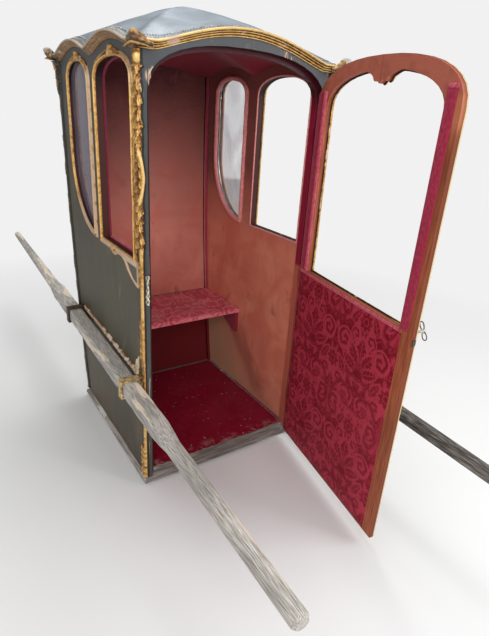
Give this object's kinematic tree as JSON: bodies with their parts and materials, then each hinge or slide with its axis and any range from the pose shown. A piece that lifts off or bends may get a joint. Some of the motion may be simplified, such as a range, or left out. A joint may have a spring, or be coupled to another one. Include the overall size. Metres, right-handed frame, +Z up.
{
  "type": "sedan chair",
  "caption": "Covered chair cabin for one sitter, carried on two long side poles, with a hinged front door, side windows and carved gilt mouldings.",
  "frame": {"origin": "centre of the base board's underside, on the floor", "axes": "-Y is the front with the door, +X is the hinge side, +Z is up; the poles run along Y and rise 2.5 degrees towards +Y"},
  "size_m": [0.866, 3.0163, 1.7],
  "materials": {
    "olive_paint": "dark olive paint, scratched",
    "roof_leather": "slate blue-grey, glossy",
    "gilding": "worn gilding over gesso",
    "worn_wood": "bare, worn",
    "pole_wood": "weathered, scratched",
    "iron": "brown, dull",
    "crimson_damask": "figured silk, dusty",
    "faded_silk": "faded silk",
    "door_wood": "red-brown, waxed",
    "old_glass": "dirty",
    "steel": "dull"
  },
  "bodies": {
    "cabin": {"back_panel": "olive_paint", "base_board": "worn_wood", "corner_hood_front_left": "gilding", "corner_hood_front_right": "gilding", "corner_hood_rear_left": "gilding", "corner_hood_rear_right": "gilding", "corner_strip_front_left": "gilding", "corner_strip_front_right": "gilding", "corner_strip_rear_left": "gilding", "corner_strip_rear_right": "gilding", "cornice_back": "gilding", "cornice_front": "gilding", "cornice_left": "gilding", "cornice_right": "gilding", "floor_board": "crimson_damask", "front_sill": "worn_wood", "header_front": "olive_paint", "hinge_frame_1": "iron", "hinge_frame_2": "iron", "hinge_frame_3": "iron", "plinth_back": "worn_wood", "plinth_left": "worn_wood", "plinth_right": "worn_wood", "pole_rail_left": "gilding", "pole_rail_right": "gilding", "post_front_left": "olive_paint", "post_front_right": "olive_paint", "post_rear_left": "olive_paint", "post_rear_right": "olive_paint", "rear_glass_left": "old_glass", "rear_glass_right": "old_glass", "roof_shell": "roof_leather", "seat_board": "crimson_damask", "seat_cleat_left": "faded_silk", "seat_cleat_right": "faded_silk", "side_frame_left": "olive_paint", "side_frame_right": "olive_paint", "side_panel_left": "olive_paint", "side_panel_right": "olive_paint", "staple_front_left": "iron", "staple_front_right": "iron", "staple_rear_left": "iron", "staple_rear_right": "iron", "window_moulding_front_left": "gilding", "window_moulding_front_right": "gilding", "window_moulding_rear_left": "gilding", "window_moulding_rear_right": "gilding"},
    "front_door": {"door_frame": "door_wood", "door_panel": "crimson_damask", "door_window_moulding": "gilding", "door_panel_moulding": "gilding", "hinge_door_1": "iron", "hinge_door_2": "iron", "hinge_door_3": "iron", "door_handle": "steel", "latch_bolt": "steel"},
    "left_pole": {"pole_left": "pole_wood"},
    "right_pole": {"pole_right": "pole_wood"}
  },
  "joints": [
    {"name": "door_hinge", "type": "hinge", "parent": "cabin", "child": "front_door", "pos_m": [0.3295, -0.3755, 0.74], "axis": [0, 0, 1], "range_deg": [-79.5, 11]},
    {"name": "left_pole_slide", "type": "slide", "parent": "cabin", "child": "left_pole", "axis": [0, -0.999, -0.0436], "range_m": [-0.8, 1.15]},
    {"name": "right_pole_slide", "type": "slide", "parent": "cabin", "child": "right_pole", "axis": [0, -0.999, -0.0436], "range_m": [-0.8, 1.15]}
  ]
}
